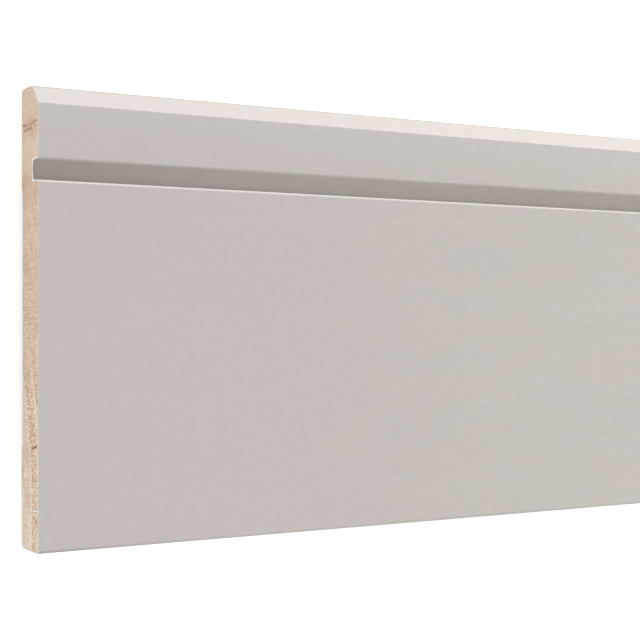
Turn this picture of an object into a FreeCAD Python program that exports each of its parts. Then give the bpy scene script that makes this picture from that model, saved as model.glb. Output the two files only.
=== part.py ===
"""Skirting board length: one moulded softwood board, primed on its face and edges.

The board is stored as it lies unheld on a level floor, on its back. X runs along its
length, Y across its width from the floor edge to the top edge, and Z through its
thickness from the back to the face. The origin is the middle of the board's footprint,
level with the two pads of the back that touch the floor. All sizes are in millimetres.
"""

import FreeCAD, Part
import math
import os

# Overall size
board_length = 2438.4  # an 8 ft stock length
board_width = 133.35  # 5 1/4 in from the floor edge to the top edge
board_thickness = 14.2875  # 9/16 in from the back pads to the face

# Chamfer along the top of the face, cut at 45 degrees
chamfer_height = 5.55
chamfer_depth = 5.55

# Square groove across the upper face
groove_below_top = 21.1  # top edge of the board to the upper lip of the groove
groove_height = 6.35  # between the two lips, at the face
groove_depth = 4.5  # face to the inner corners
groove_bow = 0.4  # how much deeper the back of the groove is at its middle
groove_draft = 4.0  # degrees that each side wall leans open

# Shallow relief along the back, which leaves a pad beside each long edge
pad_width = 28.575  # 1 1/8 in from the board's edge to the relief
relief_depth = 0.8
relief_shoulder = 2.0  # width of the slope from a pad down to the relief

# Radii of the eased corners
face_floor_radius = 0.8
back_floor_radius = 1.7
back_top_radius = 1.2
chamfer_head_radius = 0.8
chamfer_foot_radius = 0.25
groove_upper_lip_radius = 0.3
groove_lower_lip_radius = 0.6
groove_root_radius = 0.6
groove_bow_radius = 6.0
relief_lip_radius = 1.0
relief_root_radius = 1.5


def face_corners():
    """Corners of the face from the floor edge to the top edge, as (y, z, radius)."""
    floor_edge = -board_width / 2
    top_edge = board_width / 2
    upper_lip = top_edge - groove_below_top
    lower_lip = upper_lip - groove_height
    lean = groove_depth * math.tan(math.radians(groove_draft))
    root = board_thickness - groove_depth
    return [
        (floor_edge, board_thickness, face_floor_radius),
        (lower_lip, board_thickness, groove_lower_lip_radius),
        (lower_lip + lean, root, groove_root_radius),
        ((lower_lip + upper_lip) / 2, root - groove_bow, groove_bow_radius),
        (upper_lip - lean, root, groove_root_radius),
        (upper_lip, board_thickness, groove_upper_lip_radius),
        (top_edge - chamfer_height, board_thickness, chamfer_foot_radius),
        (top_edge, board_thickness - chamfer_depth, chamfer_head_radius),
    ]


def back_corners():
    """Corners of the back from the top edge to the floor edge, as (y, z, radius)."""
    edge = board_width / 2
    mouth = edge - pad_width
    floor = mouth - relief_shoulder
    return [
        (edge, 0.0, back_top_radius),
        (mouth, 0.0, relief_lip_radius),
        (floor, relief_depth, relief_root_radius),
        (-floor, relief_depth, relief_root_radius),
        (-mouth, 0.0, relief_lip_radius),
        (-edge, 0.0, back_floor_radius),
    ]


def ease(before, corner, after, radius):
    """Start, middle and end of the arc that rounds a corner between two straight stretches.

    The rounding takes up just under half of the shorter stretch at most, which leaves room
    for the rounding at its other end.
    """
    most_of_stretch = 0.48
    to_before = before - corner
    to_after = after - corner
    half_angle = to_before.getAngle(to_after) / 2
    limit = most_of_stretch * min(to_before.Length, to_after.Length)
    reach = min(radius / math.tan(half_angle), limit)
    arc_radius = reach * math.tan(half_angle)
    to_before.normalize()
    to_after.normalize()
    inward = to_before + to_after
    inward.normalize()
    start = corner + to_before * reach
    middle = corner + inward * (arc_radius / math.sin(half_angle) - arc_radius)
    end = corner + to_after * reach
    return start, middle, end


def section(x):
    """The closed outline of the moulding, square to its length, at x."""
    corners = face_corners() + back_corners()
    points = [FreeCAD.Vector(x, y, z) for y, z, _ in corners]
    arcs = []
    for i, corner in enumerate(points):
        after = points[(i + 1) % len(points)]
        arcs.append(ease(points[i - 1], corner, after, corners[i][2]))
    edges = []
    for i, (start, middle, end) in enumerate(arcs):
        next_start = arcs[(i + 1) % len(arcs)][0]
        edges.append(Part.Arc(start, middle, end).toShape())
        edges.append(Part.LineSegment(end, next_start).toShape())
    return Part.Wire(edges)


def skirting_board():
    """The whole board: its section run from one square-cut end to the other."""
    left_end = Part.Face(section(-board_length / 2))
    return left_end.extrude(FreeCAD.Vector(board_length, 0, 0))


def main():
    os.makedirs("parts", exist_ok=True)
    pieces = {"skirting_board": skirting_board()}
    for name, shape in pieces.items():
        shape.exportStep(os.path.join("parts", name + ".step"))
        print(name, "volume", round(shape.Volume), "mm3, valid", shape.isValid())


main()
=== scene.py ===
"""Looks of a primed softwood skirting board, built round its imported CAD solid.

The board lies on its back, with X along its length, Y across its width from the floor
edge to the chamfered top edge, and Z from the back pads to the moulded face. Blender
works in metres; the moulding's own sizes are in millimetres, as on a joiner's drawing.
"""

import logging
import math
from abc import ABC, abstractmethod
from dataclasses import dataclass, field
from enum import Enum
from typing import Any, Iterable, NamedTuple, Sequence

import bmesh
import bpy
import numpy as np
from mathutils import Matrix, Vector, noise


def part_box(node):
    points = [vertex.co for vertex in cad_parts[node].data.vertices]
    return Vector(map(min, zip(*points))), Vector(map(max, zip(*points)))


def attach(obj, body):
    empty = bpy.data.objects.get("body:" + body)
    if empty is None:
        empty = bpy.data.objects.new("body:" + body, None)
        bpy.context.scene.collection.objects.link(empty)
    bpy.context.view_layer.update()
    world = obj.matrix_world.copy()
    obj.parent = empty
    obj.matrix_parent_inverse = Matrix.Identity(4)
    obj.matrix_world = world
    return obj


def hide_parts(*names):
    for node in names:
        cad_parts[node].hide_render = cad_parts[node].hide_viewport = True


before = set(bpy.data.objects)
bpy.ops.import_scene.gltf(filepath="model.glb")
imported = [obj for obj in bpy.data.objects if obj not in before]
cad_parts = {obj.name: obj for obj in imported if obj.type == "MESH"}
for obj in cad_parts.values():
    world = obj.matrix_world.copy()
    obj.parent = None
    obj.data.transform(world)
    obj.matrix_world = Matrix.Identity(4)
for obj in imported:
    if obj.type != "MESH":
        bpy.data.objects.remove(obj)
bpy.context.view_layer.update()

LOG = logging.getLogger("skirting_board")
MM = 0.001  # one millimetre in metres
CAD_NODE = "skirting_board"
BODY = "root"
BAKE_MAP = "OFBake"  # the name of the map that textures are baked through

Tree = bpy.types.NodeTree
Node = bpy.types.Node
Socket = bpy.types.NodeSocket
Link = Node | Socket
Pair = tuple[float, float]
Triple = tuple[float, float, float]
Step = tuple[float, float, float, float]
Sway = tuple[Triple, Triple, float]  # size, distance and detail
Factor = Link | float | tuple[Link | float, ...]
Inputs = dict[str | int, Any] | Sequence[Any]

MATH = "ShaderNodeMath"
VECTOR = "ShaderNodeVectorMath"
RANGE = "ShaderNodeMapRange"
RAMP = "ShaderNodeValToRGB"
PARTS = "ShaderNodeSeparateXYZ"
BUMP = "ShaderNodeBump"
MOST_NOISE = {"From Min": 0.3, "From Max": 0.7}  # a noise seldom lies outside these


class Place(NamedTuple):
    """A place on the board in millimetres, in a material's tree, with its three parts."""

    tree: Tree
    mm: Node
    x: Socket
    y: Socket
    z: Socket


# Shared helpers


def linear(hex_colour: str) -> tuple[float, float, float, float]:
    """Turns an sRGB hex colour into the linear colour that a shader takes.

    Args:
        hex_colour: The colour as "#RRGGBB".

    Returns:
        Linear red, green, blue and an alpha of 1.
    """
    channels = [int(hex_colour[i : i + 2], 16) / 255 for i in (1, 3, 5)]
    curved = [c / 12.92 if c <= 0.04045 else ((c + 0.055) / 1.055) ** 2.4 for c in channels]
    return (*curved, 1.0)


def add(tree: Tree, kind: str, inputs: Inputs = (), **settings: Any) -> Node:
    """Adds a node with its settings and links.

    Args:
        tree: The tree that takes the node.
        kind: The node's type.
        inputs: A value, or a node or output to link from, for each input in order or by name.
        **settings: The node's own settings.

    Returns:
        The new node.
    """
    node = tree.nodes.new(kind)
    for name, value in settings.items():
        setattr(node, name, value)
    for key, value in inputs.items() if isinstance(inputs, dict) else enumerate(inputs):
        source = value.outputs[0] if isinstance(value, Node) else value
        if isinstance(source, Socket):
            tree.links.new(source, node.inputs[key])
        else:
            node.inputs[key].default_value = source
    return node


def empty_tree(owner: bpy.types.Material | bpy.types.World) -> Tree:
    """Empties a node tree.

    Args:
        owner: The new material or world that it belongs to.

    Returns:
        The tree.
    """
    owner.use_nodes = True
    owner.node_tree.nodes.clear()
    return owner.node_tree


def put(name: str, data: bpy.types.ID) -> bpy.types.Object:
    """Puts a new object into the scene.

    Args:
        name: Its name.
        data: Its mesh, curve, lamp or camera.

    Returns:
        The object.
    """
    made = bpy.data.objects.new(name, data)
    bpy.context.scene.collection.objects.link(made)
    return made


def lay_stops(ramp: Node, stops: Sequence[tuple[float, float | str]]) -> None:
    """Lays stops on a ramp, which works as a curve where they are grey.

    Args:
        ramp: A new ramp's node, which has two stops.
        stops: Rising position of each stop, with its grey value or sRGB hex colour.
    """
    elements = ramp.color_ramp.elements
    for _ in stops[2:]:
        elements.new(0.5)
    for element, (position, _) in zip(elements, stops):
        element.position = position
    for element, (_, value) in zip(elements, stops):
        element.color = linear(value) if isinstance(value, str) else (value, value, value, 1.0)


def lay_over(tree: Tree, colour: Any, layers: Iterable[tuple[Link, Any]]) -> Socket:
    """Lays colours over one another.

    Args:
        tree: The material's tree.
        colour: The colour underneath.
        layers: Share and colour of each layer, the colour as sRGB hex or as a node.

    Returns:
        The colour that shows.
    """
    for share, over in layers:
        top = linear(over) if isinstance(over, str) else over
        inputs = {"Factor": share, 6: colour, 7: top}
        colour = add(tree, "ShaderNodeMix", inputs, data_type="RGBA").outputs[2]
    return colour


def patches(tree: Tree, place: Link, size: Triple, detail: float = 2.0, rough: float = 0.5) -> Node:
    """Noise whose patches have a real size.

    Args:
        tree: The material's tree.
        place: The place in millimetres.
        size: Millimetres along X, Y and Z of one patch.
        detail: How many times finer patches are added.
        rough: How strong the finer ones are.

    Returns:
        The noise node, whose first output runs from 0 to 1.
    """
    drawn = add(tree, VECTOR, [place, size], operation="DIVIDE")
    inputs = {"Vector": drawn, "Scale": 1.0, "Detail": detail, "Roughness": rough}
    return add(tree, "ShaderNodeTexNoise", inputs)


def swayed(tree: Tree, place: Link, size: Triple, far: Triple, detail: float = 2.0) -> Node:
    """Moves a place a little to and fro, so that what is drawn there bends or has a ragged edge.

    Args:
        tree: The material's tree.
        place: The place in millimetres.
        size: Millimetres along X, Y and Z of one bend.
        far: Millimetres that it moves from side to side along each axis.
        detail: How many times finer bends are added.

    Returns:
        The node of the moved place.
    """
    noisy = patches(tree, place, size, detail).outputs["Color"]
    centred = add(tree, VECTOR, [noisy, (0.5, 0.5, 0.5)], operation="SUBTRACT")
    return add(tree, VECTOR, [centred, far, place], operation="MULTIPLY_ADD")


def product(tree: Tree, *factors: Factor) -> Link:
    """Multiplies values and eased steps.

    Args:
        tree: The tree that takes the nodes.
        *factors: A number, a node or output, or a step: a value, where the step starts and
            ends, and what it gives there, which is 0 and 1 if left out.

    Returns:
        The node or output of the product.
    """
    names = ("Value", "From Min", "From Max", "To Min", "To Max")
    whole = None
    for factor in factors:
        if isinstance(factor, tuple):
            inputs = dict(zip(names, factor))
            factor = add(tree, RANGE, inputs, interpolation_type="SMOOTHSTEP")
        if whole is not None:
            factor = add(tree, MATH, [whole, factor], operation="MULTIPLY")
        whole = factor
    return whole


def smooth_step(low: float, high: float, value: float) -> float:
    """Share of the way from low to high, eased at both ends."""
    share = min(max((value - low) / (high - low), 0.0), 1.0)
    return share * share * (3 - 2 * share)


# The moulding's section


@dataclass(frozen=True)
class Corner:
    """A corner of the section before it is eased, in millimetres."""

    y: float
    z: float
    radius: float


@dataclass(frozen=True)
class MouldingProfile:
    """The board's section in millimetres, with the corners that its CAD source eases."""

    width: float
    thickness: float
    chamfer: float = 5.55
    groove_below_top: float = 21.1
    groove_height: float = 6.35
    groove_depth: float = 4.5
    groove_bow: float = 0.4
    groove_draft: float = 4.0
    pad_width: float = 28.575
    relief_depth: float = 0.8
    relief_shoulder: float = 2.0
    face_floor_radius: float = 0.8
    back_floor_radius: float = 1.7
    back_top_radius: float = 1.2
    chamfer_head_radius: float = 0.8
    chamfer_foot_radius: float = 0.25
    upper_lip_radius: float = 0.3
    lower_lip_radius: float = 0.6
    root_radius: float = 0.6
    bow_radius: float = 6.0
    relief_lip_radius: float = 1.0
    relief_root_radius: float = 1.5
    arc_step: float = 10.0  # degrees of each rounded corner to one facet
    most_of_stretch: float = 0.48  # share of a short stretch that a rounding may take

    @property
    def edge(self) -> float:
        """Y of the top edge; the floor edge lies as far the other way."""
        return self.width / 2

    @property
    def upper_lip(self) -> float:
        """Y of the groove's lip nearer the top edge."""
        return self.edge - self.groove_below_top

    @property
    def lower_lip(self) -> float:
        """Y of the groove's lip nearer the floor edge."""
        return self.upper_lip - self.groove_height

    @property
    def groove_middle(self) -> float:
        """Y of the middle of the groove."""
        return self.upper_lip - self.groove_height / 2

    @property
    def groove_root(self) -> float:
        """Z of the foot of the groove's walls."""
        return self.thickness - self.groove_depth

    def face_corners(self) -> list[Corner]:
        """Sets out the face.

        Returns:
            Its corners from the floor edge to the top edge.
        """
        top, root = self.thickness, self.groove_root
        lean = self.groove_depth * math.tan(math.radians(self.groove_draft))
        return [
            Corner(-self.edge, top, self.face_floor_radius),
            Corner(self.lower_lip, top, self.lower_lip_radius),
            Corner(self.lower_lip + lean, root, self.root_radius),
            Corner(self.groove_middle, root - self.groove_bow, self.bow_radius),
            Corner(self.upper_lip - lean, root, self.root_radius),
            Corner(self.upper_lip, top, self.upper_lip_radius),
            Corner(self.edge - self.chamfer, top, self.chamfer_foot_radius),
            Corner(self.edge, top - self.chamfer, self.chamfer_head_radius),
        ]

    def back_corners(self) -> list[Corner]:
        """Sets out the back.

        Returns:
            Its corners from the floor edge to the top edge.
        """
        mouth = self.edge - self.pad_width
        floor = mouth - self.relief_shoulder
        return [
            Corner(-self.edge, 0.0, self.back_floor_radius),
            Corner(-mouth, 0.0, self.relief_lip_radius),
            Corner(-floor, self.relief_depth, self.relief_root_radius),
            Corner(floor, self.relief_depth, self.relief_root_radius),
            Corner(mouth, 0.0, self.relief_lip_radius),
            Corner(self.edge, 0.0, self.back_top_radius),
        ]

    def eased_line(self, corners: list[Corner], far_z: float) -> np.ndarray:
        """Runs a line over the corners, each rounded by its radius.

        Args:
            corners: Corners from the floor edge to the top edge.
            far_z: Z of the other side of the board, which both edges run on to.

        Returns:
            The line's points as rows of Y and Z, with Y rising.
        """
        ends = [Vector((-self.edge, far_z)), Vector((self.edge, far_z))]
        places = [ends[0], *(Vector((c.y, c.z)) for c in corners), ends[1]]
        line: list[Vector] = []
        for before, place, after, corner in zip(places, places[1:], places[2:], corners):
            line += self.rounded(before, place, after, corner.radius)
        return np.array([tuple(point) for point in line])

    def rounded(self, before: Vector, corner: Vector, after: Vector, radius: float) -> list[Vector]:
        """Points of the arc that eases one corner.

        Args:
            before: The corner before it.
            corner: The corner itself.
            after: The corner after it.
            radius: Radius of the rounding, less where a stretch is too short for it.

        Returns:
            Points from the arc's start to its end.
        """
        back, onward = before - corner, after - corner
        half_angle = back.angle(onward) / 2
        limit = self.most_of_stretch * min(back.length, onward.length)
        reach = min(radius / math.tan(half_angle), limit)
        back.normalize()
        onward.normalize()
        inward = (back + onward).normalized()
        centre = corner + inward * reach / math.cos(half_angle)
        start = corner + back * reach - centre
        end = corner + onward * reach - centre
        turn = math.pi - 2 * half_angle
        steps = max(2, round(math.degrees(turn) / self.arc_step))
        shares = [i / steps for i in range(steps + 1)]
        return [
            centre + (start * math.sin((1 - s) * turn) + end * math.sin(s * turn)) / math.sin(turn)
            for s in shares
        ]


# The sawn ends

GRAIN_RISE = 0.22  # climb of torn fibres per millimetre through the board, at its floor edge
GRAIN_TURN = 0.0035  # how much less they climb for each millimetre above that edge


class MarkKind(Enum):
    """What a small mark on a sawn end is, with the colour that it shows."""

    CHECK = "#9A6B3A"  # a drying split along a ray, whose walls are resinous wood in shade
    RESIN = "#B48C72"  # resin that has soaked the fibres along a ray
    STAIN = "#D5B69E"  # the wood beside it, which the resin has only tinted
    FILLED_NICK = "#F1EDE8"  # a chip in the arris that primer ran into


CHECK, RESIN, STAIN, FILLED_NICK = MarkKind
MARK_EDGE = (0.6, 0.1)  # shares of its width off its middle where a mark ends and is whole
MARK_CORE = 0.75  # share of its run through the board that is whole
STAIN_CORE = 0.2
MARK_MARGIN = 0.2  # millimetres that a mark needs round it


@dataclass(frozen=True)
class EndMark:
    """A small mark on a sawn end, in millimetres from the floor edge and the back."""

    kind: MarkKind
    height: float
    start: float
    end: float
    rise: float
    width: float
    strength: float = 1.0
    depth: float = 0.0

    def cut(self, y: float, z: float, floor_y: float) -> float:
        """How deep the mark goes in at a place on the end.

        Args:
            y: Place across the width in millimetres.
            z: Place through the thickness in millimetres.
            floor_y: Y of the board's floor edge.

        Returns:
            Depth in millimetres.
        """
        along = min(max((z - self.start) / (self.end - self.start), 0.0), 1.0)
        off = (y - floor_y - self.height - self.rise * along) / (self.width / 2)
        return self.depth * max(0.0, 1 - off * off) * min(1.0, 8 * along * (1 - along))

    def mask(self, tree: Tree, place: Node, floor_y: float) -> Link:
        """Share of the mark's colour at a place: a stain fades out, and the rest end sharply.

        Args:
            tree: The material's tree.
            place: The place in millimetres.
            floor_y: Y of the board's floor edge in millimetres.

        Returns:
            The node of the share.
        """
        _, y, z = add(tree, PARTS, [place]).outputs
        low = floor_y + self.height
        climb = {"From Min": self.start, "From Max": self.end, "To Min": low, "To Max": low + self.rise}
        middle = add(tree, RANGE, {"Value": z, **climb})
        half = (self.end - self.start) / 2
        whole = half * (STAIN_CORE if self.kind is STAIN else MARK_CORE)
        share = self.strength
        spans = (
            (y, middle, *(edge * self.width for edge in MARK_EDGE)),
            (z, self.start + half, half + MARK_MARGIN, whole),
        )
        for value, centre, *fade in spans:
            off = add(tree, MATH, [value, centre], operation="SUBTRACT")
            away = add(tree, MATH, [off], operation="ABSOLUTE")
            share = product(tree, share, (away, *fade))
        return share


LEFT_END_MARKS = (
    EndMark(STAIN, 121.6, -1.0, 15.5, 0.5, 6.0, 0.75),
    EndMark(RESIN, 122.7, 0.4, 3.9, -0.3, 1.0),
    EndMark(RESIN, 122.3, 3.2, 7.6, 0.1, 0.8, 0.55),
    EndMark(RESIN, 122.45, 7.0, 12.4, 0.6, 0.95),
    EndMark(RESIN, 123.0, 11.8, 14.2, -0.4, 0.6, 0.5),
    EndMark(RESIN, 121.0, 1.0, 8.8, 0.3, 0.95, 0.85),
    EndMark(RESIN, 121.2, 6.2, 9.2, 0.0, 1.0, 0.6),
    EndMark(RESIN, 121.9, 9.4, 14.2, -0.5, 0.45, 0.6),
    EndMark(STAIN, 105.8, -3.0, 8.0, 0.8, 5.0, 0.55),
    EndMark(STAIN, 27.0, 2.0, 7.4, 0.4, 7.0, 0.5),
    EndMark(STAIN, 15.5, 2.8, 7.4, 0.2, 9.0, 0.45),
    EndMark(STAIN, 21.0, -0.6, 1.6, 0.0, 11.0, 0.8),
    EndMark(CHECK, 29.2, 8.0, 13.2, 1.3, 0.8, 1.0, 0.5),
    EndMark(FILLED_NICK, 11.9, 9.9, 14.8, 0.15, 0.8, 1.0, 0.12),
)
RIGHT_END_MARKS = (
    EndMark(STAIN, 116.4, -1.0, 15.5, 0.9, 4.5, 0.6),
    EndMark(RESIN, 116.1, 1.5, 9.2, 0.5, 0.6, 0.8),
    EndMark(CHECK, 41.2, 2.4, 6.3, 0.9, 0.45, 1.0, 0.4),
)


@dataclass(frozen=True)
class SawnEnd:
    """One square-cut end: which way it faces, its saw and fibre relief and its marks."""

    side: int
    marks: tuple[EndMark, ...] = ()
    seed: float = 0.0
    kerf_pitch: float = 1.3
    kerf_depth: float = 0.02
    tear_size: Pair = (1.5, 0.55)  # millimetres of a torn spot through the board and up the end
    tear_depth: float = 0.09
    clean_share: float = 0.25  # of the tearing that the dense wood has too
    softening: Pair = (78.0, 60.0)  # heights where the wood turns soft and where it is so

    def depth(self, y: float, z: float, profile: MouldingProfile) -> float:
        """How far a place on the end lies below the cut's own plane.

        Args:
            y: Place across the width in millimetres.
            z: Place through the thickness in millimetres.
            profile: The board's section.

        Returns:
            Depth in millimetres, never less than 0.
        """
        height = y + profile.edge
        across = height - z * (GRAIN_RISE - GRAIN_TURN * height)
        kerf = 0.5 + 0.5 * math.sin(math.tau * across / self.kerf_pitch)
        through, up = self.tear_size
        fibre = noise.noise(Vector((z / through, across / up, self.seed)))
        torn = self.clean_share + (1 - self.clean_share) * smooth_step(*self.softening, height)
        pits = self.tear_depth * torn * max(0.0, fibre)
        marks = sum(mark.cut(y, z, -profile.edge) for mark in self.marks)
        return self.kerf_depth * kerf + pits + marks


# Finishes


@dataclass(frozen=True)
class PineFigure:
    """The plank's growth rings, set out round the pith of its tree, in millimetres."""

    left_end: float
    pith_y: float = -54.7
    pith_z: float = -90.0
    first_ring: float = 99.4
    ring_pitch: float = 7.6
    lean_across: float = 0.35  # degrees that the pith wanders from the board's length
    lean_through: float = 0.2
    sway_size: Triple = (1 / 0.00135, 1 / 0.09, 1 / 0.09)  # of a stretch that the rings bend over
    sway: float = 2.4  # how far they bend from side to side

    def rings(self, at: Place) -> tuple[Node, Node]:
        """Sets the rings out.

        Args:
            at: The place.

        Returns:
            The place as seen from the pith, and the number of rings out from the first one.
        """
        tree = at.tree
        foot = (self.left_end, self.pith_y, self.pith_z)
        turn = (0.0, math.radians(self.lean_through), math.radians(self.lean_across))
        inputs = {"Vector": at.mm, "Location": foot, "Rotation": turn}
        pith = add(tree, "ShaderNodeMapping", inputs, vector_type="TEXTURE")
        bent = swayed(tree, pith, self.sway_size, (0.0, self.sway, self.sway))
        flat = add(tree, VECTOR, [bent, (0.0, 1.0, 1.0)], operation="MULTIPLY")
        radius = add(tree, VECTOR, [flat], operation="LENGTH").outputs["Value"]
        first, second = self.first_ring, self.first_ring + self.ring_pitch
        rings = add(tree, RANGE, {"Value": radius, "From Min": first, "From Max": second}, clamp=False)
        return pith, rings


@dataclass(frozen=True, kw_only=True)
class BoardFinish(ABC):
    """What every finish of the board has, and how its look becomes a material."""

    profile: MouldingProfile
    title: str
    roughness: float
    ior: float

    @abstractmethod
    def look(self, at: Place) -> tuple[Link, Node]:
        """Draws the finish.

        Args:
            at: The place.

        Returns:
            The colour, and the bump.
        """

    def material(self) -> bpy.types.Material:
        """Makes the material, which follows the object's own coordinates.

        Returns:
            The material.
        """
        made = bpy.data.materials.new(self.title)
        tree = empty_tree(made)
        place = add(tree, "ShaderNodeTexCoord").outputs["Object"]
        mm = add(tree, VECTOR, {0: place, "Scale": 1 / MM}, operation="SCALE")
        at = Place(tree, mm, *add(tree, PARTS, [mm]).outputs)
        colour, bump = self.look(at)
        inputs = {"Base Color": colour, "Roughness": self.roughness, "IOR": self.ior, "Normal": bump}
        surface = add(tree, "ShaderNodeBsdfPrincipled", inputs)
        add(tree, "ShaderNodeOutputMaterial", {"Surface": surface})
        return made


@dataclass(frozen=True)
class PaintedLight:
    """Painted highlight or painted shade laid over the coat."""

    colour: str
    share: float
    length: float = 0.0  # millimetres from the left end to where it has faded out


@dataclass(frozen=True, kw_only=True)
class PrimerCoat(BoardFinish):
    """White acrylic primer, sprayed on the planed board and lightly sanded.

    A matt warm white. The planed wood's fibres lifted under it and show as barely visible
    short dashes along the board, under a fine stipple that the spray left. Over it lie a
    painted highlight on the groove's lower lip, painted light that makes the face lighter
    towards the top edge, and painted shade along the head of the chamfer and, beside the
    left end, on the face, on the floor-edge arris and in the groove.
    """

    left_end: float
    title: str = "sprayed_acrylic_primer"
    roughness: float = 0.7
    ior: float = 1.5
    cool: str = "#DCD6D1"
    warm: str = "#E0D8CF"
    fibre_size: Triple = (5.0, 1.3, 1.3)  # millimetres along and across a lifted fibre
    fibre_shade: float = 0.035
    fibre_lift: float = 0.009
    band_size: Triple = (90.0, 20.0, 20.0)  # where the planer's knives left a low stretch
    band_shade: float = 0.012
    cloud_size: Triple = (26.0, 9.0, 9.0)  # where the spray lay thicker
    stipple_size: Triple = (0.7, 0.7, 0.7)  # the real 0.3 mm stipple is too fine to show
    stipple_lift: float = 0.006
    arris_fade: Pair = (0.9, 0.45)  # millimetres off an arris where its painted highlight or shade ends and is whole
    top_light_fade: Pair = (0.4, 0.1)  # millimetres under the face where the painted top light ends and is whole
    lip_fade: float = 0.2  # millimetres past the groove's lips where its painted shade ends
    groove_shade_top: float = 0.3  # millimetres under the face where it starts
    groove_shade_whole: float = 0.8  # share of the groove's depth from which it is whole
    # painted highlight along the groove's lower lip
    lip_highlight: PaintedLight = PaintedLight("#F0EAE4", 0.6)
    top_light: PaintedLight = PaintedLight("#F0EFEE", 0.13)  # painted light: the face lighter towards the top edge
    chamfer_head_shade: PaintedLight = PaintedLight("#B4AD92", 0.4)  # painted shade along the head of the chamfer
    # painted shade on the face, fading out along the board from the left end
    left_end_shade: PaintedLight = PaintedLight("#D6CDCB", 0.5, 260.0)
    # painted shade on the floor-edge arris, fading out near the left end
    floor_arris_shade: PaintedLight = PaintedLight("#8E8880", 0.3, 45.0)
    groove_shade: PaintedLight = PaintedLight("#B5AB97", 0.26, 75.0)  # painted shade in the groove beside the left end

    def coat(self, at: Place) -> tuple[Socket, Node]:
        """The fresh coat.

        Args:
            at: The place.

        Returns:
            Its colour, and the node of its fibres' height from 0 to 1.
        """
        tree, mm = at.tree, at.mm
        sizes = (self.fibre_size, self.band_size, self.cloud_size)
        fibres, bands, clouds = (patches(tree, mm, size, 3.0, 0.55) for size in sizes)
        colour = lay_over(tree, linear(self.cool), [(clouds, self.warm)])
        for streaks, swing in ((fibres, self.fibre_shade), (bands, self.band_shade)):
            inputs = {"Value": streaks, **MOST_NOISE, "To Min": 1 - swing, "To Max": 1 + swing}
            shade = add(tree, RANGE, inputs)
            colour = add(tree, VECTOR, {0: colour, "Scale": shade}, operation="SCALE").outputs[0]
        return colour, fibres

    def near_arris(self, at: Place, y: float, z: float) -> tuple[Socket, float, float]:
        """Step of painted highlight or shade that runs along an arris.

        Args:
            at: The place.
            y: Y of the arris in millimetres.
            z: Z of the arris in millimetres.

        Returns:
            How far off the arris the place is, and where the step starts and ends.
        """
        flat = add(at.tree, VECTOR, [at.mm, (0.0, 1.0, 1.0)], operation="MULTIPLY")
        away = add(at.tree, VECTOR, [flat, (0.0, y, z)], operation="DISTANCE")
        return away.outputs["Value"], *self.arris_fade

    def with_painted_light(self, at: Place, colour: Socket) -> Socket:
        """The coat with its painted highlight, painted light and painted shade laid over it.

        Args:
            at: The place.
            colour: The fresh coat's colour.

        Returns:
            The coat's colour with its painted light and painted shade.
        """
        tree, _, x, y, z = at
        edge, face = self.profile.edge, self.profile.thickness
        upper_lip, lower_lip = self.profile.upper_lip, self.profile.lower_lip
        foot, head = edge - self.profile.chamfer, face - self.profile.chamfer
        deep = face - self.groove_shade_whole * self.profile.groove_depth
        blur = self.lip_fade
        left_face_reach, left_arris_reach, sawn = (
            (x, self.left_end + light_patch.length, self.left_end)
            for light_patch in (self.left_end_shade, self.floor_arris_shade, self.groove_shade)
        )
        mouth = ((y, lower_lip - blur, lower_lip), (y, upper_lip + blur, upper_lip))
        top_light = (z, *(face - under for under in self.top_light_fade))
        # each painted highlight, painted light or painted shade, with the steps that place it
        laid = (
            (self.left_end_shade, [left_face_reach]),
            (self.lip_highlight, [self.near_arris(at, lower_lip, face)]),
            (self.chamfer_head_shade, [self.near_arris(at, edge, head)]),
            (self.top_light, [(y, upper_lip, foot), top_light]),
            (self.floor_arris_shade, [self.near_arris(at, -edge, face), left_arris_reach]),
            (self.groove_shade, [sawn, *mouth, (z, face - self.groove_shade_top, deep)]),
        )
        layers = ((product(tree, light_patch.share, *steps), light_patch.colour) for light_patch, steps in laid)
        return lay_over(tree, colour, layers)

    def look(self, at: Place) -> tuple[Link, Node]:
        """Draws the coat on the face, the edges and the groove.

        Args:
            at: The place.

        Returns:
            The colour, and the bump.
        """
        tree, mm = at.tree, at.mm
        coat, fibres = self.coat(at)
        raised = add(tree, BUMP, {"Height": fibres, "Distance": self.fibre_lift * MM})
        stipple = patches(tree, mm, self.stipple_size, 1.0)
        inputs = {"Height": stipple, "Distance": self.stipple_lift * MM, "Normal": raised}
        return self.with_painted_light(at, coat), add(tree, BUMP, inputs)


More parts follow.
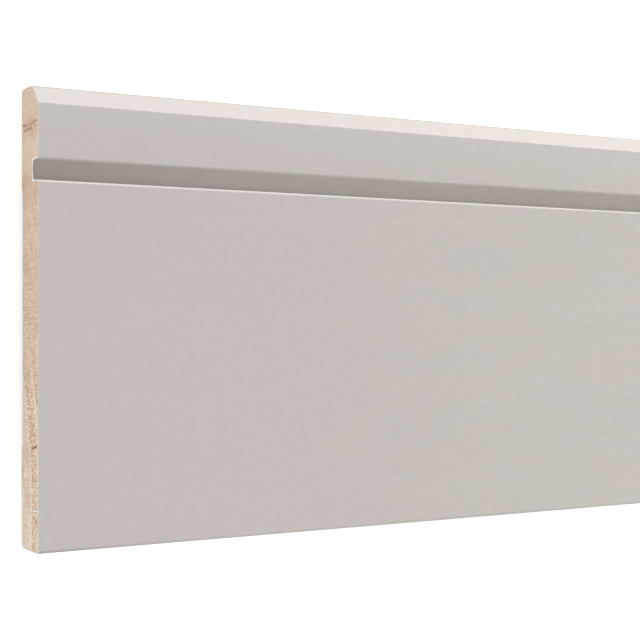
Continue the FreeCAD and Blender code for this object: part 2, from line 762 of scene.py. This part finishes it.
@dataclass(frozen=True, kw_only=True)
class SawnEndGrain(BoardFinish):
    """Bare pine cut across by a saw.

    A dull warm buff. Dense late wood is cut clean and looks creamy; the soft early wood
    beyond it is torn, so it looks darker, and painted glints and painted shade mark where
    fibres stand up. Steps by rings are in rings out from the first one, and by height in
    millimetres from the floor edge.
    """

    pine: PineFigure
    ends: tuple[SawnEnd, ...]
    title: str = "sawn_pine_end_grain"
    roughness: float = 0.8
    ior: float = 1.45
    shades: tuple[str, ...] = ("#BC9B7F", "#D6BAA2", "#E6CCB4", "#F2DEC8", "#FFF2DD")
    pale_tint: Triple = (0.995, 1.065, 1.14)
    pale_by_rings: Pair = (0.05, -0.05)
    pale_by_height: Step = (105.0, 110.0, 0.0, 0.55)
    rosy: str = "#E6C6B4"
    rosy_over: Pair = (0.45, 0.65)  # of the mottle
    rosy_share: float = 0.3
    primer: str = "#FAF6F2"  # primer that ran over the arris in a bead, drawn whiter than the coat as a painted highlight on it
    dash_size: Triple = (25.0, 0.45, 1.2)  # of a torn fibre in, up and through the end
    # how far the torn fibres swing the tone: painted glints and painted shade
    dash_glint_swing: float = 3.6
    ray_size: Triple = (25.0, 0.16, 5.0)  # of the fine rays that cross the rings
    ray_swing: float = 0.9
    mottle_size: Triple = (1 / 0.17, 1 / 0.17, 1 / 0.17)
    mottle_swing: float = 0.4
    ring_tones: tuple[Pair, ...] = (
        (0.0, 0.0), (0.07, 0.18), (0.16, 0.3), (0.5, 0.36), (0.7, 0.55), (0.84, 0.75), (1.0, 0.72)
    )  # lightness across one ring
    ring_by_rings: Step = (-0.1, 0.1, 0.45, 1.0)
    ring_by_height: Step = (42.0, 68.0, 0.7, 0.14)
    height_tones: tuple[Pair, ...] = (
        (0.0, 0.6), (0.22, 0.57), (0.3, 0.53), (0.45, 0.47), (0.57, 0.41), (0.68, 0.46),
        (0.75, 0.4), (0.8, 0.27), (0.825, 0.48), (0.88, 0.48), (0.9, 0.41), (0.95, 0.41)
    )  # lightness up the end
    torn: tuple[Pair, ...] = (
        (0.0, 0.8), (0.2, 0.9), (0.33, 0.76), (0.42, 0.4), (0.53, 0.52),
        (0.6, 0.3), (0.77, 0.28), (0.81, 0.1), (1.0, 0.08)
    )  # how roughly the saw left it, up the end
    torn_by_rings: Step = (-0.14, 0.02, 0.5, 1.0)
    torn_lift: float = 0.15
    canal_pitch: float = 2.3  # millimetres between resin canals, which show as dark pin-pricks
    canal_run: Triple = (0.02, 1.0, 1.0)  # squeezed lengthwise, as canals run on along the board
    canal_radius: float = 0.14
    canal_edge: Pair = (1.6, 0.6)  # shares of the radius where the dark ends and is whole
    canal_dark: float = 0.4
    rim_width: Pair = (0.8, 1.5)  # millimetres of primer round the groove, at least and at most
    rim_whole: float = 0.45  # millimetres of that rim that are whole
    rim_squeeze: Triple = (0.0, 3.0, 1.0)  # a third as wide beside the groove as under it
    rim_size: Triple = (1 / 0.6, 1 / 0.6, 1 / 0.6)  # of a place where it crept further
    arris_fade: Pair = (0.55, 0.1)  # millimetres under the face where primer ends and is whole
    arris_share: float = 0.6
    mark_sway: Sway = ((1 / 1.3, 1 / 1.3, 1 / 1.3), (0.0, 0.6, 0.8), 2.0)
    stain_sway: Sway = ((2.5, 2.5, 2.5), (0.0, 5.0, 5.0), 3.0)

    def up_the_end(self, tree: Tree, height: Node, stops: tuple[Pair, ...]) -> Node:
        """A curve over the end's height.

        Args:
            tree: The material's tree.
            height: Millimetres above the floor edge.
            stops: Share of the end's height and value of each of the curve's stops.

        Returns:
            The node of the value.
        """
        share = add(tree, MATH, [height, self.profile.width], operation="DIVIDE")
        curve = add(tree, RAMP, {"Fac": share})
        lay_stops(curve, stops)
        return curve

    def turned(self, at: Place, height: Node) -> Node:
        """The place in the torn fibres' own directions: they climb most at the floor edge.

        Args:
            at: The place.
            height: Millimetres above the floor edge.

        Returns:
            The node of the place in millimetres.
        """
        tree = at.tree
        rise = add(tree, MATH, [height, -GRAIN_TURN, GRAIN_RISE], operation="MULTIPLY_ADD")
        level = add(tree, MATH, [height, product(tree, at.z, rise)], operation="SUBTRACT")
        return add(tree, "ShaderNodeCombineXYZ", [at.x, level, at.z])

    def canals(self, at: Place) -> Link:
        """The dark of the resin canals.

        Args:
            at: The place.

        Returns:
            The node of how much darker the place is.
        """
        tree = at.tree
        across = add(tree, VECTOR, [at.mm, self.canal_run], operation="MULTIPLY")
        cells = add(tree, "ShaderNodeTexVoronoi", {"Vector": across, "Scale": 1 / self.canal_pitch})
        edge = (share * self.canal_radius / self.canal_pitch for share in self.canal_edge)
        return product(tree, (cells.outputs["Distance"], *edge, 0.0, self.canal_dark))

    def marks(self, at: Place) -> list[tuple[Link, str]]:
        """The small marks of both ends.

        Args:
            at: The place.

        Returns:
            Share and colour of each mark.
        """
        tree = at.tree
        sharp, soaked = (swayed(tree, at.mm, *sway) for sway in (self.mark_sway, self.stain_sway))
        layers = []
        for end in self.ends:
            side = "GREATER_THAN" if end.side > 0 else "LESS_THAN"
            here = add(tree, MATH, [at.x, 0.0], operation=side)
            for mark in end.marks:
                place = soaked if mark.kind is STAIN else sharp
                mask = mark.mask(tree, place, -self.profile.edge)
                layers.append((product(tree, mask, here), mark.kind.value))
        return layers

    def primer_rim(self, at: Place) -> Node:
        """Share of primer that crept on to the end: round the groove and along the face's arris.

        Args:
            at: The place.

        Returns:
            The node of the share.
        """
        tree, mm = at.tree, at.mm
        profile, face = self.profile, self.profile.thickness
        tall = 20.0  # so far past the face that the rim runs round three sides of the groove only
        middle = (0.0, profile.groove_middle, profile.groove_root + tall)
        half = (0.0, profile.groove_height / 2, tall)
        centred = add(tree, VECTOR, [mm, middle], operation="SUBTRACT")
        size = add(tree, VECTOR, [centred], operation="ABSOLUTE")
        beyond = add(tree, VECTOR, [size, half], operation="SUBTRACT")
        outside = add(tree, VECTOR, [beyond, (0.0, 0.0, 0.0)], operation="MAXIMUM")
        narrowed = add(tree, VECTOR, [outside, self.rim_squeeze], operation="MULTIPLY")
        away = add(tree, VECTOR, [narrowed], operation="LENGTH").outputs["Value"]
        uneven = patches(tree, mm, self.rim_size)
        least, most = self.rim_width
        wide = add(tree, RANGE, {"Value": uneven, **MOST_NOISE, "To Min": least, "To Max": most})
        step = (face - under for under in self.arris_fade)
        arris = product(tree, (at.z, *step, 0.0, self.arris_share))
        rim = product(tree, (away, wide, self.rim_whole))
        return add(tree, MATH, [rim, arris], operation="MAXIMUM")

    def look(self, at: Place) -> tuple[Link, Node]:
        """Draws the wood that shows on both ends.

        Args:
            at: The place.

        Returns:
            The colour, and the bump.
        """
        tree, mm = at.tree, at.mm
        height = add(tree, MATH, [at.y, self.profile.edge], operation="ADD")
        _, rings = self.pine.rings(at)
        turned = self.turned(at, height)
        dashes, rays = (patches(tree, turned, size) for size in (self.dash_size, self.ray_size))
        mottle = patches(tree, mm, self.mottle_size, 3.0)
        ring = add(tree, RAMP, {"Fac": add(tree, MATH, [rings], operation="FRACT")})
        lay_stops(ring, self.ring_tones)
        torn = product(tree, self.up_the_end(tree, height, self.torn), (rings, *self.torn_by_rings))
        swings = (
            # the torn fibres' dashes: painted glints and painted shade
            (dashes, product(tree, torn, self.dash_glint_swing)),
            (rays, self.ray_swing),
            (ring, product(tree, (rings, *self.ring_by_rings), (height, *self.ring_by_height))),
            (mottle, self.mottle_swing),
        )
        tone = self.up_the_end(tree, height, self.height_tones)
        for pattern, swing in swings:
            off = add(tree, MATH, [pattern, 0.5], operation="SUBTRACT")
            tone = add(tree, MATH, [off, swing, tone], operation="MULTIPLY_ADD")
        tone = add(tree, MATH, [tone, self.canals(at)], operation="SUBTRACT")
        wood = add(tree, RAMP, {"Fac": tone})
        last = len(self.shades) - 1
        lay_stops(wood, [(place / last, shade) for place, shade in enumerate(self.shades)])
        steps = ((rings, *self.pale_by_rings), (height, *self.pale_by_height))
        pale = [product(tree, step) for step in steps]
        tint = [wood, self.pale_tint]
        low, high = self.rosy_over
        blush = {"From Min": low, "From Max": high, "To Max": self.rosy_share}
        layers = [
            (add(tree, MATH, pale, operation="MAXIMUM"), add(tree, VECTOR, tint, operation="MULTIPLY")),
            (add(tree, RANGE, {"Value": mottle.outputs["Color"], **blush}), self.rosy),
            *self.marks(at),
            (self.primer_rim(at), self.primer),
        ]
        raised = {"Height": product(tree, dashes, torn), "Distance": self.torn_lift * MM}
        return lay_over(tree, wood, layers), add(tree, BUMP, raised)


@dataclass(frozen=True, kw_only=True)
class PlanedBack(BoardFinish):
    """Bare pine planed along the grain.

    Long straight streaks with a slight silky sheen: pale early wood that darkens into a
    narrow brown line of late wood at each ring. The planer's knives left faint cross ripples,
    and a mist of primer drifted round both long edges.
    """

    pine: PineFigure
    primer: PrimerCoat
    title: str = "planed_pine"
    roughness: float = 0.6
    ior: float = 1.45
    early_wood: str = "#E6CDAD"
    middle_wood: str = "#DDBF99"
    late_wood: str = "#C3976A"
    ring_tones: tuple[Pair, ...] = (
        (0.0, 0.25), (0.05, 0.06), (0.5, 0.12), (0.8, 0.4), (0.93, 1.0), (1.0, 0.8)
    )  # share of late wood across one ring
    year_scale: float = 0.8  # changes from good to poor years in each ring
    year_swing: float = 2.6  # how far good and poor years move the rings
    faintest: float = 0.45  # share of late wood that the weakest ring keeps
    streak_size: Triple = (90.0, 0.6, 0.6)
    streak_shade: Pair = (0.9, 1.07)
    grain_lift: float = 0.04
    knife_pitch: float = 2.0  # millimetres; drawn coarser than the real 1.2 mm so that it shows
    knife_share: float = 0.05  # of the grain's lift
    drift: float = 9.0  # millimetres that the mist reached in from each long edge
    drift_fade: Pair = (-0.15, 0.55)  # shares of that from the mist's start to a whole coat
    spot_size: Triple = (3.5, 1.2, 1.0)  # of the mist's spots

    def ring_colour(self, tree: Tree, rings: Node) -> Node:
        """The wood's colour across its rings, some of them narrow and some faint.

        Args:
            tree: The material's tree.
            rings: Node of the number of rings out from the first one.

        Returns:
            The node of the colour.
        """
        inputs = {"W": rings, "Scale": self.year_scale, "Detail": 2.0}
        years = add(tree, "ShaderNodeTexNoise", inputs, noise_dimensions="1D")
        inputs = [years, self.year_swing, rings]
        uneven = add(tree, MATH, inputs, operation="MULTIPLY_ADD")
        tone = add(tree, RAMP, {"Fac": add(tree, MATH, [uneven], operation="FRACT")})
        lay_stops(tone, self.ring_tones)
        year = add(tree, MATH, [uneven], operation="FLOOR")
        faint = add(tree, "ShaderNodeTexWhiteNoise", {"W": year}, noise_dimensions="1D")
        strong = add(tree, RANGE, {"Value": faint, "To Min": self.faintest})
        wood = add(tree, RAMP, {"Fac": product(tree, tone, strong)})
        lay_stops(wood, ((0.0, self.early_wood), (0.5, self.middle_wood), (1.0, self.late_wood)))
        return wood

    def look(self, at: Place) -> tuple[Link, Node]:
        """Draws the wood that shows on the back.

        Args:
            at: The place.

        Returns:
            The colour, and the bump.
        """
        tree, mm = at.tree, at.mm
        pith, rings = self.pine.rings(at)
        wood = self.ring_colour(tree, rings)
        streaks = patches(tree, pith, self.streak_size, 3.0, 0.6)
        dark, light = self.streak_shade
        shade = add(tree, RANGE, {"Value": streaks, **MOST_NOISE, "To Min": dark, "To Max": light})
        toned = add(tree, VECTOR, {0: wood, "Scale": shade}, operation="SCALE")
        off_middle = add(tree, MATH, [at.y], operation="ABSOLUTE")
        spots = patches(tree, mm, self.spot_size, 4.0)
        mist = add(tree, MATH, [spots, self.drift, off_middle], operation="MULTIPLY_ADD")
        fade = (self.profile.edge + share * self.drift for share in self.drift_fade)
        coat, _ = self.primer.coat(at)
        colour = lay_over(tree, toned, [(product(tree, (mist, *fade)), coat)])
        turn = product(tree, at.x, math.tau / self.knife_pitch)
        ripple = add(tree, MATH, [turn], operation="SINE")
        planed = add(tree, MATH, [ripple, self.knife_share, streaks], operation="MULTIPLY_ADD")
        return colour, add(tree, BUMP, {"Height": planed, "Distance": self.grain_lift * MM})


# The board


class Finish(Enum):
    """The board's material slots, in their order on the mesh."""

    PRIMER = 0
    BACK = 1
    END = 2


@dataclass
class SkirtingBoard:
    """One length of the moulding: its section swept along the board, closed by two sawn ends."""

    length: float
    profile: MouldingProfile
    column_pitch: float = 0.42  # millimetres between the lines of an end's mesh
    mark_columns: int = 5  # lines of the mesh across a cut mark
    closest: float = 0.01  # millimetres, nearer than which two lines become one
    weld: float = 0.002  # millimetres between points of the sweep and an end that become one
    rows: int = 34
    stations: int = 25
    end_strip: float = 0.105  # share of the bake's map that each end takes
    map_margin: float = 0.006
    name: str = "moulded_board"
    columns: np.ndarray = field(init=False)
    heights: np.ndarray = field(init=False)

    def __post_init__(self) -> None:
        """Sets out the columns that both ends and the swept outline share."""
        face = self.profile.eased_line(self.profile.face_corners(), 0.0)
        back = self.profile.eased_line(self.profile.back_corners(), self.profile.thickness)
        self.columns = self.column_lines(face, back)
        low, high = (np.interp(self.columns, line[:, 0], line[:, 1]) for line in (back, face))
        self.heights = np.linspace(low, high, self.rows + 1)

    def column_lines(self, face: np.ndarray, back: np.ndarray) -> np.ndarray:
        """Y of each column of an end's mesh: at each corner point, and evenly between them.

        Args:
            face: The eased face line.
            back: The eased back line.

        Returns:
            Rising values of Y in millimetres.
        """
        places = [*face[:, 0], *back[:, 0]]
        for start, end in zip(face, face[1:]):
            parts = max(1, round(math.dist(start, end) / self.column_pitch))
            places += [float(start[0] + (end[0] - start[0]) * i / parts) for i in range(parts)]
        for mark in (m for m in (*LEFT_END_MARKS, *RIGHT_END_MARKS) if m.depth > 0):
            middle = mark.height + mark.rise / 2 - self.profile.edge
            reach = mark.width / 2 + mark.rise / 2 + MARK_MARGIN
            places += list(np.arange(middle - reach, middle + reach, mark.width / self.mark_columns))
        kept: list[float] = []
        for y in sorted(places):
            if not kept or y - kept[-1] > self.closest:
                kept.append(y)
        kept[-1] = float(face[-1, 0])
        return np.array(kept)

    def outline(self) -> list[Pair]:
        """Goes round the section.

        Returns:
            Y and Z of the closed outline in metres: back, top edge, face, floor edge.
        """
        last = len(self.columns) - 1
        inner = range(1, self.rows)
        loop = [(i, 0) for i in range(last + 1)]
        loop += [(last, j) for j in inner]
        loop += [(i, self.rows) for i in range(last, -1, -1)]
        loop += [(0, j) for j in reversed(inner)]
        return [self.place(i, j) for i, j in loop]

    def place(self, column: int, row: int) -> Pair:
        """Y and Z of a point of an end's mesh, in metres."""
        return float(self.columns[column]) * MM, float(self.heights[row, column]) * MM

    def sweep_tree(self) -> Tree:
        """Makes the node tree that sweeps a closed outline along the board.

        Returns:
            The tree.
        """
        tree = bpy.data.node_groups.new("moulding_sweep", "GeometryNodeTree")
        sockets = {"Outline": "Geometry", "Length": "Float", "Stations": "Int", "Finish": "Material"}
        for name, kind in sockets.items():
            tree.interface.new_socket(name=name, in_out="INPUT", socket_type=f"NodeSocket{kind}")
        tree.interface.new_socket(name="Board", in_out="OUTPUT", socket_type="NodeSocketGeometry")
        given = add(tree, "NodeGroupInput").outputs
        start, end = (
            add(tree, "ShaderNodeCombineXYZ", {"X": product(tree, given["Length"], share)})
            for share in (-0.5, 0.5)
        )
        made = add(tree, "GeometryNodeCurvePrimitiveLine", {"Start": start, "End": end})
        steps = (
            ("GeometryNodeResampleCurve", {"Count": given["Stations"]}, {}),
            ("GeometryNodeSetCurveNormal", {"Normal": (0.0, 1.0, 0.0)}, {"mode": "FREE"}),
            ("GeometryNodeCurveToMesh", {"Profile Curve": given["Outline"]}, {}),
            ("GeometryNodeRealizeInstances", {}, {}),
            ("GeometryNodeSetMaterial", {"Material": given["Finish"]}, {}),
            ("NodeGroupOutput", {}, {}),
        )
        for kind, inputs, settings in steps:
            made = add(tree, kind, {0: made, **inputs}, **settings)
        return tree

    def swept(self, finish: bpy.types.Material) -> bpy.types.Mesh:
        """The outline swept from end to end, open at both ends, with its map.

        Args:
            finish: The material that the sweep sets.

        Returns:
            A plain mesh whose vertices run station by station along the outline.
        """
        outline = self.outline()
        curve = bpy.data.curves.new("section_outline", "CURVE")
        curve.dimensions = "3D"
        spline = curve.splines.new("POLY")
        spline.points.add(len(outline) - 1)
        for point, (y, z) in zip(spline.points, outline):
            point.co = (y, z, 0.0, 1.0)
        spline.use_cyclic_u = True
        holder = put("section_outline", curve)
        tree = self.sweep_tree()
        modifier = holder.modifiers.new("moulding_sweep", "NODES")
        modifier.node_group = tree
        wanted = {"Length": self.length * MM, "Stations": self.stations, "Finish": finish}
        for item in tree.interface.items_tree:
            if item.in_out == "INPUT" and item.name in wanted:
                modifier[item.identifier] = wanted[item.name]
        seen = holder.evaluated_get(bpy.context.evaluated_depsgraph_get())
        mesh = bpy.data.meshes.new_from_object(seen)
        bpy.data.objects.remove(holder)
        self.map_sweep(mesh, outline)
        return mesh

    def map_sweep(self, mesh: bpy.types.Mesh, outline: list[Pair]) -> None:
        """Unrolls the swept mesh on the bake's map and gives the back its slot.

        Args:
            mesh: The swept mesh.
            outline: The outline that it was swept from, in metres.
        """
        points = np.array([*outline, outline[0]])
        girth = np.concatenate([[0.0], np.cumsum(np.linalg.norm(np.diff(points, axis=0), axis=1))])
        count = len(outline)
        low = 2 * (self.end_strip + self.map_margin)
        span = 1 - self.map_margin - low
        steepest, highest = -0.6, 2.5 * MM  # of a face that still belongs to the back
        layer = mesh.uv_layers.new(name=BAKE_MAP)
        for polygon in mesh.polygons:
            corners = [mesh.loops[i].vertex_index for i in polygon.loop_indices]
            wraps = {0, count - 1} <= {v % count for v in corners}
            for loop, vertex in zip(polygon.loop_indices, corners):
                step = vertex % count or (count if wraps else 0)
                along = (vertex // count) / (self.stations - 1)
                u = self.map_margin + along * (1 - 2 * self.map_margin)
                layer.data[loop].uv = (u, low + span * girth[step] / girth[-1])
            if polygon.normal.z < steepest and polygon.center.z < highest:
                polygon.material_index = Finish.BACK.value

    def cap(self, end: SawnEnd) -> bpy.types.Mesh:
        """One end's face as rows and columns, with its map.

        Args:
            end: The end to close.

        Returns:
            A flat mesh on the end's own plane.
        """
        x = end.side * self.length * MM / 2
        tall = self.rows + 1
        count = len(self.columns)
        vertices = [(x, *self.place(i, j)) for i in range(count) for j in range(tall)]
        faces = [
            (i * tall + j, (i + 1) * tall + j, (i + 1) * tall + j + 1, i * tall + j + 1)
            for i in range(count - 1)
            for j in range(self.rows)
        ]
        mesh = bpy.data.meshes.new("sawn_end")
        mesh.from_pydata(vertices, [], faces)
        strip = 0 if end.side < 0 else self.end_strip + self.map_margin
        layer = mesh.uv_layers.new(name=BAKE_MAP)
        wide = self.profile.width * MM
        top_light = self.profile.thickness * MM
        for loop in mesh.loops:
            _, y, z = mesh.vertices[loop.vertex_index].co
            u = self.map_margin + (1 - 2 * self.map_margin) * (y / wide + 0.5)
            v = self.map_margin + strip + (self.end_strip - self.map_margin) * z / top_light
            layer.data[loop.index].uv = (u, v)
        for polygon in mesh.polygons:
            polygon.material_index = Finish.END.value
        return mesh

    def build(
        self, finishes: dict[Finish, bpy.types.Material], ends: tuple[SawnEnd, ...]
    ) -> bpy.types.Object:
        """Joins the sweep and its two ends into one closed board.

        Args:
            finishes: The material of each slot.
            ends: The two sawn ends.

        Returns:
            The finished board, riding on the frame's body.
        """
        shell = bmesh.new()
        meshes = [self.swept(finishes[Finish.PRIMER]), *(self.cap(end) for end in ends)]
        for mesh in meshes:
            shell.from_mesh(mesh)
            bpy.data.meshes.remove(mesh)
        bmesh.ops.remove_doubles(shell, verts=shell.verts, dist=self.weld * MM)
        bmesh.ops.recalc_face_normals(shell, faces=shell.faces)
        for edge in shell.edges:
            slots = {f.material_index for f in edge.link_faces}
            edge.smooth = not (Finish.END.value in slots and len(slots) > 1)
        for face in shell.faces:
            face.smooth = True
        half = self.length * MM / 2
        for vertex in shell.verts:
            for end in ends:
                if abs(vertex.co.x - end.side * half) < 0.5 * MM:
                    y, z = vertex.co.y / MM, vertex.co.z / MM
                    vertex.co.x -= end.side * end.depth(y, z, self.profile) * MM
        mesh = bpy.data.meshes.new(self.name)
        shell.to_mesh(mesh)
        open_edges = sum(len(e.link_faces) != 2 for e in shell.edges)
        shell.free()
        for slot in Finish:
            mesh.materials.append(finishes[slot])
        board = put(self.name, mesh)
        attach(board, BODY)
        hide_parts(CAD_NODE)
        LOG.info("%s: %d faces, %d open edges", self.name, len(mesh.polygons), open_edges)
        return board


# The studio


@dataclass(frozen=True)
class StudioLamp:
    """A broad soft lamp far from the board, so that it lights the whole length alike."""

    name: str
    azimuth: float  # degrees round Z from +X that the light comes from
    elevation: float
    softness: float  # degrees across, as seen from the board
    level: float  # share of plain white that it gives a surface facing it

    def build(self) -> None:
        """Hangs the lamp."""
        lamp = bpy.data.lights.new(self.name, "SUN")
        lamp.energy = self.level * math.pi
        lamp.angle = math.radians(self.softness)
        turn = Matrix.Rotation(math.radians(self.azimuth + 90), 4, "Z")
        tip = Matrix.Rotation(math.radians(90 - self.elevation), 4, "X")
        put(self.name, lamp).matrix_world = turn @ tip


@dataclass(frozen=True)
class Studio:
    """White sweep: a pale floor, an even sky and broad soft lamps."""

    sky_level: float = 0.15
    floor_half_width: float = 8.0
    floor_below: float = 0.1  # millimetres under the pads, so that no two faces share a plane
    floor_colour: str = "#E7E7E7"
    floor_glow: float = 0.65
    lamps: tuple[StudioLamp, ...] = (
        StudioLamp("key_over_top_edge", 90.0, 15.0, 20.0, 0.452),
        StudioLamp("key_from_far_corner", 50.0, 12.0, 20.0, 0.452),
        StudioLamp("fill_from_floor_edge", -75.0, 28.0, 40.0, 0.338),
        StudioLamp("side_at_left_end", 180.0, 4.0, 8.0, 0.5),
        StudioLamp("sheen_from_far_end", 0.0, 25.0, 30.0, 0.44),
    )

    def seen_directly(self, tree: Tree) -> Link:
        """1 where the camera, a reflection or a clear body sees the surface.

        Args:
            tree: The material's or the world's tree.

        Returns:
            The node or output of the value.
        """
        path = add(tree, "ShaderNodeLightPath").outputs
        seen = path["Is Camera Ray"]
        for ray in ("Is Glossy Ray", "Is Transmission Ray"):
            seen = add(tree, MATH, [seen, path[ray]], operation="MAXIMUM")
        return seen

    def world(self) -> None:
        """An even sky that is plain white where it is seen."""
        sky = bpy.data.worlds.new("studio_sky")
        tree = empty_tree(sky)
        level = add(tree, RANGE, {"Value": self.seen_directly(tree), "To Min": self.sky_level})
        white = {"Color": (1.0, 1.0, 1.0, 1.0), "Strength": level}
        light = add(tree, "ShaderNodeBackground", white)
        add(tree, "ShaderNodeOutputWorld", {"Surface": light})
        bpy.context.scene.world = sky

    def floor(self) -> None:
        """The pale floor that the board lies on, which glows to plain white where it is seen."""
        half = self.floor_half_width
        z = -self.floor_below * MM
        corners = [(-half, -half, z), (half, -half, z), (half, half, z), (-half, half, z)]
        mesh = bpy.data.meshes.new("studio_floor")
        mesh.from_pydata(corners, [], [(0, 1, 2, 3)])
        made = bpy.data.materials.new("white_studio_paper")
        tree = empty_tree(made)
        paper = add(tree, "ShaderNodeBsdfDiffuse", {"Color": linear(self.floor_colour)})
        glow = product(tree, self.seen_directly(tree), self.floor_glow)
        lit = add(tree, "ShaderNodeEmission", {"Strength": glow})
        both = add(tree, "ShaderNodeAddShader", [paper, lit])
        add(tree, "ShaderNodeOutputMaterial", {"Surface": both})
        mesh.materials.append(made)
        put("studio_floor", mesh)

    def build(self) -> None:
        """Sets up the floor, the sky and the lamps."""
        self.floor()
        self.world()
        for lamp in self.lamps:
            lamp.build()
        bpy.context.scene.view_settings.view_transform = "Standard"


@dataclass(frozen=True)
class PhotographView:
    """The camera, looking down on the board's left end at the photograph's angle."""

    lens: float = 80.2
    sensor: float = 36.0
    position: Triple = (-1.355643, -0.002783, 0.401527)
    yaw: float = -30.584  # degrees about Y, towards the far end
    pitch: float = 0.3207
    roll: float = -0.0314

    def build(self) -> None:
        """Sets up the scene's camera."""
        camera = bpy.data.cameras.new("photograph_view")
        camera.lens = self.lens
        camera.sensor_width = self.sensor
        camera.clip_start = 0.01
        place = Matrix.Translation(self.position)
        for degrees, axis in ((self.yaw, "Y"), (self.pitch, "X"), (self.roll, "Z")):
            place = place @ Matrix.Rotation(math.radians(degrees), 4, axis)
        holder = put("photograph_view", camera)
        holder.matrix_world = place
        bpy.context.scene.camera = holder


def main() -> None:
    """Builds the board, the studio and the camera."""
    logging.basicConfig(level=logging.INFO, format="%(name)s: %(message)s")
    low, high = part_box(CAD_NODE)
    size = (high - low) / MM
    profile = MouldingProfile(width=size.y, thickness=size.z)
    left_end = low.x / MM
    pine = PineFigure(left_end)
    primer = PrimerCoat(profile=profile, left_end=left_end)
    ends = (SawnEnd(-1, LEFT_END_MARKS), SawnEnd(1, RIGHT_END_MARKS, seed=40.0))
    finishes = {
        Finish.PRIMER: primer.material(),
        Finish.BACK: PlanedBack(profile=profile, pine=pine, primer=primer).material(),
        Finish.END: SawnEndGrain(profile=profile, pine=pine, ends=ends).material(),
    }
    SkirtingBoard(size.x, profile).build(finishes, ends)
    Studio().build()
    PhotographView().build()


if __name__ == "__main__":
    main()
